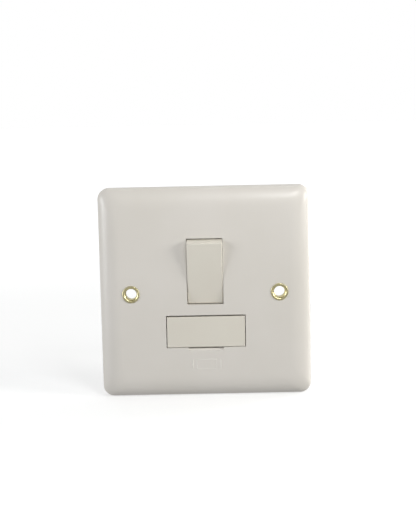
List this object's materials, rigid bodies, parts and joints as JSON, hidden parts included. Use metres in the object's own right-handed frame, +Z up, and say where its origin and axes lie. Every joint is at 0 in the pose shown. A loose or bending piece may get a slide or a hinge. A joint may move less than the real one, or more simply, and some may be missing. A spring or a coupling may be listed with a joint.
{
  "type": "switched fused connection unit",
  "caption": "Square white one-gang wall plate with a double-pole rocker switch, a slide-out cartridge fuse carrier, brass-lined fixing holes and rear screw terminals.",
  "frame": {"origin": "centre of the plate's back rim, in the plane of the wall", "axes": "+Y into the wall, so the front faces -Y; +Z up; +X to the right as seen from the front"},
  "size_m": [0.086, 0.0297, 0.086],
  "materials": {
    "plate_moulding": "satin moulded urea, warm white",
    "switch_moulding": "satin moulded plastic, slightly creamier white",
    "tray_moulding": "matt moulded plastic, pale grey",
    "base_moulding": "matt moulded plastic, white",
    "brass": "bright stamped or turned brass",
    "zinc_steel": "zinc plated steel",
    "silver_contact": "silver contact metal",
    "spring_steel": "drawn spring wire",
    "fuse_ceramic": "unglazed white ceramic",
    "fuse_metal": "nickel plated cap"
  },
  "bodies": {
    "unit": {"earth_strap": "brass", "fixed_blade_live": "brass", "fixed_blade_neutral": "brass", "fixed_tip_live": "silver_contact", "fixed_tip_neutral": "silver_contact", "fixing_eyelet_left": "brass", "fixing_eyelet_right": "brass", "front_plate": "plate_moulding", "fuse_clip_load": "brass", "fuse_clip_supply": "brass", "housing_screw_1": "zinc_steel", "housing_screw_2": "zinc_steel", "housing_screw_3": "zinc_steel", "housing_screw_4": "zinc_steel", "insulating_tray": "tray_moulding", "load_blade_live": "brass", "rear_base": "base_moulding", "saddle_blade_live": "brass", "saddle_blade_neutral": "brass", "terminal_load_earth": "brass", "terminal_load_live": "brass", "terminal_load_neutral": "brass", "terminal_screw_load_earth": "zinc_steel", "terminal_screw_load_live": "zinc_steel", "terminal_screw_load_neutral": "zinc_steel", "terminal_screw_supply_earth": "zinc_steel", "terminal_screw_supply_live": "zinc_steel", "terminal_screw_supply_neutral": "zinc_steel", "terminal_supply_earth": "brass", "terminal_supply_live": "brass", "terminal_supply_neutral": "brass"},
    "rocker": {"rocker": "switch_moulding", "plunger_spring_neutral": "spring_steel", "plunger_spring_live": "spring_steel"},
    "plunger_neutral": {"plunger_neutral": "tray_moulding"},
    "plunger_live": {"plunger_live": "tray_moulding"},
    "seesaw_neutral": {"moving_contact_neutral": "brass", "moving_tip_neutral": "silver_contact"},
    "seesaw_live": {"moving_contact_live": "brass", "moving_tip_live": "silver_contact"},
    "fuse_drawer": {"fuse_carrier": "switch_moulding", "fuse_tube": "fuse_ceramic", "fuse_cap_left": "fuse_metal", "fuse_cap_right": "fuse_metal"}
  },
  "joints": [
    {"name": "rocker_tilt", "type": "hinge", "parent": "unit", "child": "rocker", "pos_m": [0, -0.0054, 0.00885], "axis": [-1, 0, 0], "range_deg": [0, 19]},
    {"name": "seesaw_neutral_tilt", "type": "hinge", "parent": "unit", "child": "seesaw_neutral", "pos_m": [-0.0036, 0.00425, 0.00885], "axis": [1, 0, 0], "range_deg": [0, 16]},
    {"name": "plunger_neutral_slide", "type": "slide", "parent": "rocker", "child": "plunger_neutral", "axis": [0, -0.9863, -0.165], "range_m": [0, 0.001], "stiffness_N_per_m": 400, "springref_m": -0.002, "deforming": ["plunger_spring_neutral"]},
    {"name": "seesaw_live_tilt", "type": "hinge", "parent": "unit", "child": "seesaw_live", "pos_m": [0.0036, 0.00425, 0.00885], "axis": [1, 0, 0], "range_deg": [0, 16]},
    {"name": "plunger_live_slide", "type": "slide", "parent": "rocker", "child": "plunger_live", "axis": [0, -0.9863, -0.165], "range_m": [0, 0.001], "stiffness_N_per_m": 400, "springref_m": -0.002, "deforming": ["plunger_spring_live"]},
    {"name": "fuse_drawer_slide", "type": "slide", "parent": "unit", "child": "fuse_drawer", "axis": [0, -1, 0], "range_m": [0, 0.0107]}
  ],
  "couplings": [
    {"joint": "seesaw_neutral_tilt", "follows": "rocker_tilt", "ratio": 0.842},
    {"joint": "seesaw_live_tilt", "follows": "rocker_tilt", "ratio": 0.842}
  ]
}
